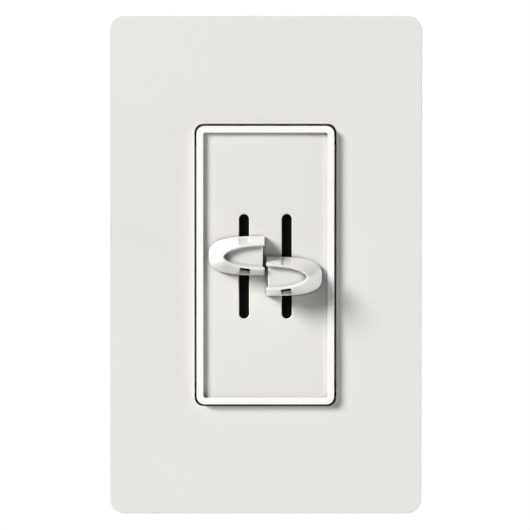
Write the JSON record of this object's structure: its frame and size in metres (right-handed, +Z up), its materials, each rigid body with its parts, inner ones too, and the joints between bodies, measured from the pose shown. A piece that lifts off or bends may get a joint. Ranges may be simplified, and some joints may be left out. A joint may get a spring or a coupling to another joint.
{
  "type": "dual slide dimmer switch",
  "caption": "Wall dimmer with short vertical slide controls in a rectangular bezel, behind a clip-on screwless wall plate, with its yoke and rear housing.",
  "frame": {"origin": "on the wall's surface, at the middle of the wall plate", "axes": "+Z up along the wall, +Y into the wall, and the front faces -Y with +X to the viewer's right"},
  "size_m": [0.0746, 0.0452, 0.119],
  "materials": {
    "white_plastic": "smooth satin-gloss moulded",
    "black_plastic": "matte moulded",
    "housing_plastic": "fine moulded texture",
    "yoke_aluminium": "stamped, lightly brushed",
    "zinc_steel": "bright zinc plate",
    "terminal_brass": "bright brass",
    "green_screw": "green dyed zinc plate",
    "copper_wire": "enamelled copper wire",
    "ferrite": "matte sintered ferrite",
    "board_laminate": "green solder mask",
    "track_board": "brown phenolic",
    "triac_epoxy": "black moulded epoxy",
    "capacitor_yellow": "yellow boxed film",
    "resistor_tan": "tan lacquer",
    "fibre_sheet": "vulcanised fibre",
    "thermal_pad": "grey silicone"
  },
  "bodies": {
    "chassis": {"adapter_screw_bottom": "zinc_steel", "adapter_screw_top": "zinc_steel", "choke_core_left": "ferrite", "choke_core_right": "ferrite", "choke_winding_left": "copper_wire", "choke_winding_right": "copper_wire", "circuit_board": "board_laminate", "film_capacitor_left": "capacitor_yellow", "film_capacitor_right": "capacitor_yellow", "front_bezel": "white_plastic", "ground_screw": "green_screw", "housing_screw_bottom_left": "zinc_steel", "housing_screw_bottom_right": "zinc_steel", "housing_screw_top_left": "zinc_steel", "housing_screw_top_right": "zinc_steel", "insulator_sheet": "fibre_sheet", "mounting_screw_bottom": "zinc_steel", "mounting_screw_top": "zinc_steel", "potentiometer_case_left": "zinc_steel", "potentiometer_case_right": "zinc_steel", "rear_housing": "housing_plastic", "resistor_left": "resistor_tan", "resistor_right": "resistor_tan", "resistor_track_left": "track_board", "resistor_track_right": "track_board", "screw_retainer_bottom": "fibre_sheet", "screw_retainer_top": "fibre_sheet", "slider_guide": "black_plastic", "switch_contact_left": "terminal_brass", "switch_contact_right": "terminal_brass", "switch_post_left": "terminal_brass", "switch_post_right": "terminal_brass", "terminal_clamp_line": "zinc_steel", "terminal_clamp_load_one": "zinc_steel", "terminal_clamp_load_two": "zinc_steel", "terminal_plate_line": "terminal_brass", "terminal_plate_load_one": "terminal_brass", "terminal_plate_load_two": "terminal_brass", "terminal_screw_line": "terminal_brass", "terminal_screw_load_one": "terminal_brass", "terminal_screw_load_two": "terminal_brass", "timing_capacitor_left": "capacitor_yellow", "timing_capacitor_right": "capacitor_yellow", "triac_left": "triac_epoxy", "triac_pad_left": "thermal_pad", "triac_pad_right": "thermal_pad", "triac_right": "triac_epoxy", "triac_rivet_left": "zinc_steel", "triac_rivet_right": "zinc_steel", "wallplate_adapter": "black_plastic", "yoke": "yoke_aluminium"},
    "left_slider": {"knob_left": "white_plastic", "carriage_left": "black_plastic", "wiper_left": "track_board"},
    "right_slider": {"knob_right": "white_plastic", "carriage_right": "black_plastic", "wiper_right": "track_board"},
    "left_leaf": {"switch_leaf_left": "terminal_brass"},
    "right_leaf": {"switch_leaf_right": "terminal_brass"},
    "cover": {"wallplate_cover": "white_plastic"}
  },
  "joints": [
    {"name": "left_slide", "type": "slide", "parent": "chassis", "child": "left_slider", "axis": [0, 0, 1], "range_m": [-0.0121, 0.0069]},
    {"name": "right_slide", "type": "slide", "parent": "chassis", "child": "right_slider", "axis": [0, 0, 1], "range_m": [-0.0072, 0.0118]},
    {"name": "left_leaf_hinge", "type": "hinge", "parent": "chassis", "child": "left_leaf", "pos_m": [-0.0051, 0.00243, -0.027], "axis": [1, 0, 0], "range_deg": [0, 5], "stiffness_Nm_per_rad": 0.005, "springref_deg": -5.73},
    {"name": "right_leaf_hinge", "type": "hinge", "parent": "chassis", "child": "right_leaf", "pos_m": [0.0051, 0.00243, -0.027], "axis": [1, 0, 0], "range_deg": [0, 5], "stiffness_Nm_per_rad": 0.005, "springref_deg": -5.73},
    {"name": "cover_pull", "type": "slide", "parent": "chassis", "child": "cover", "axis": [0, -1, 0], "range_m": [0, 0.03]}
  ]
}
